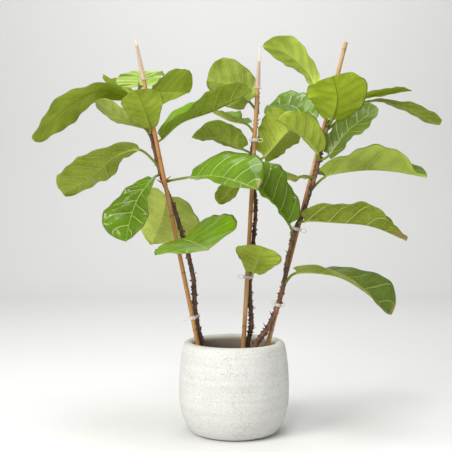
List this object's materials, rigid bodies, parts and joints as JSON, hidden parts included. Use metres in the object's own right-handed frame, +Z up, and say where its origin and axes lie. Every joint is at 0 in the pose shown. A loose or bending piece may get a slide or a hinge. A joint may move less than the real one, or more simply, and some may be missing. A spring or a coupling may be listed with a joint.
{
  "type": "potted fiddle leaf fig",
  "caption": "Potted fiddle leaf fig: large veined leaves on slim woody stems, clipped to bamboo stakes, in a round-bellied speckled white ceramic pot.",
  "frame": {"origin": "the middle of the pot's flat base, on the surface that it stands on", "axes": "+Z up; -Y is the plant's front; +X is to the right when seen from the front"},
  "size_m": [0.913, 0.344, 0.8828],
  "materials": {
    "pot_ceramic": "matt speckled white stoneware with faint throwing lines",
    "potting_mix": "dark, dry, crumbly bark-based potting mix",
    "bamboo": "dry satin bamboo cane, streaked tan and orange-brown",
    "bark": "rough dark red-brown bark with papery flakes",
    "clear_plastic": "clear, slightly clouded moulded plastic",
    "leaf_green": "leathery leaf, glossy dark green above and dull yellow-green below, with pale veins"
  },
  "bodies": {
    "root": {"pot": "pot_ceramic", "soil": "potting_mix", "stake_left": "bamboo", "stem_left": "bark", "clip_left_1": "clear_plastic", "clip_left_2": "clear_plastic", "stake_middle": "bamboo", "stem_middle": "bark", "clip_middle_1": "clear_plastic", "clip_middle_2": "clear_plastic", "stake_right": "bamboo", "stem_right": "bark", "clip_right_1": "clear_plastic", "clip_right_2": "clear_plastic", "stake_cap_left": "clear_plastic", "stake_cap_middle": "clear_plastic", "leaf_left_01": "leaf_green", "leaf_left_02": "leaf_green", "leaf_left_03": "leaf_green", "leaf_left_04": "leaf_green", "leaf_left_05": "leaf_green", "leaf_left_06": "leaf_green", "leaf_left_07": "leaf_green", "leaf_left_08": "leaf_green", "leaf_left_09": "leaf_green", "leaf_left_10": "leaf_green", "leaf_left_11": "leaf_green", "leaf_left_12": "leaf_green", "leaf_middle_01": "leaf_green", "leaf_middle_02": "leaf_green", "leaf_middle_03": "leaf_green", "leaf_middle_04": "leaf_green", "leaf_middle_05": "leaf_green", "leaf_middle_06": "leaf_green", "leaf_right_01": "leaf_green", "leaf_right_02": "leaf_green", "leaf_right_03": "leaf_green", "leaf_right_04": "leaf_green", "leaf_right_05": "leaf_green", "leaf_right_06": "leaf_green", "leaf_right_07": "leaf_green", "leaf_right_08": "leaf_green", "leaf_right_09": "leaf_green", "leaf_right_10": "leaf_green", "leaf_right_11": "leaf_green", "leaf_right_12": "leaf_green"}
  },
  "joints": []
}
